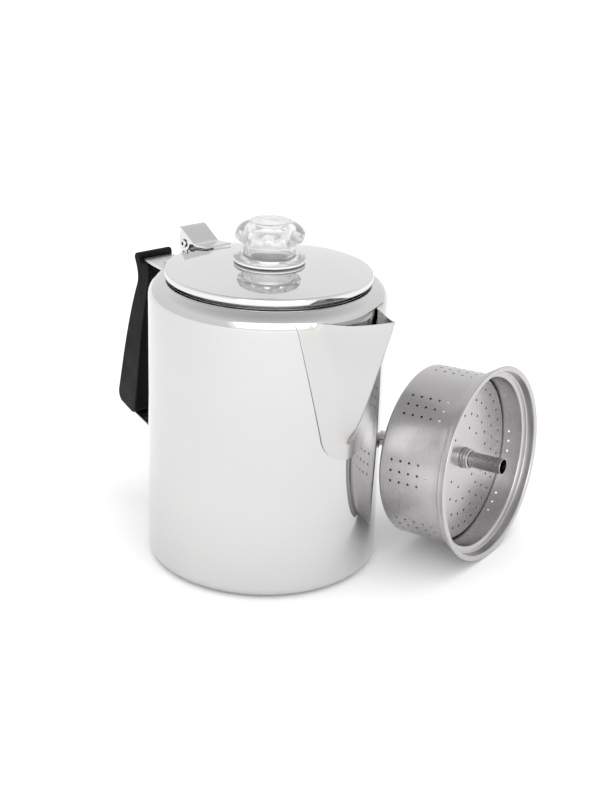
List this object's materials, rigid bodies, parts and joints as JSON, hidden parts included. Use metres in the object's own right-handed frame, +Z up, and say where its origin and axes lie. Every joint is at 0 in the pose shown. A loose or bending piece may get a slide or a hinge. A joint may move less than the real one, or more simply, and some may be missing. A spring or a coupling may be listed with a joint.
{
  "type": "coffee percolator",
  "caption": "Round steel percolator pot with a hinged domed lid, clear knob, folded V spout and strap handle, its perforated basket and pump lying beside it.",
  "frame": {"origin": "centre of the pot's flat base, on the table", "axes": "+Z up along the pot's axis, +X towards the spout, -X towards the handle and hinge; the brew set lies on the +Y side"},
  "size_m": [0.2261, 0.2139, 0.1934],
  "materials": {
    "polished_steel": "mirror-polished stainless sheet",
    "lid_steel": "polished stainless sheet with faint radial lines",
    "hinge_steel": "polished stainless sheet",
    "strap_steel": "satin stainless strap",
    "satin_steel": "satin stainless sheet, brushed round its axis",
    "black_plastic": "moulded, fine matte texture",
    "clear_plastic": "clear moulded plastic, glossy",
    "silicone": "translucent white silicone"
  },
  "bodies": {
    "pot": {"pot_body": "polished_steel", "spout": "polished_steel", "handle_strap": "strap_steel", "handle_grip": "black_plastic", "hinge_bracket": "hinge_steel", "hinge_pin": "hinge_steel"},
    "lid": {"lid": "lid_steel", "lid_skirt": "strap_steel", "hinge_leaf": "hinge_steel", "knob_gasket": "silicone"},
    "knob": {"knob": "clear_plastic"},
    "pump": {"pump_tube": "satin_steel", "pump_bell": "satin_steel"},
    "basket": {"basket": "satin_steel", "basket_collar": "satin_steel"},
    "spreader": {"spreader": "satin_steel", "spreader_collar": "satin_steel"}
  },
  "joints": [
    {"name": "lid_hinge", "type": "hinge", "parent": "pot", "child": "lid", "pos_m": [-0.0635, 0, 0.1674], "axis": [0, -1, 0], "range_deg": [0, 105]},
    {"name": "knob_twist", "type": "hinge", "parent": "lid", "child": "knob", "pos_m": [0, 0, 0.18], "axis": [0, 0, 1], "range_deg": [0, 60]},
    {"name": "brew_set_slide", "type": "slide", "parent": "pot", "child": "pump", "axis": [-0.2198, 0.9755, 0], "range_m": [0, 0.12]},
    {"name": "basket_slide", "type": "slide", "parent": "pump", "child": "basket", "axis": [0.9742, 0.2195, 0.052], "range_m": [0, 0.056]},
    {"name": "spreader_slide", "type": "slide", "parent": "basket", "child": "spreader", "axis": [0.9742, 0.2195, 0.052], "range_m": [-0.018, 0.06]}
  ]
}
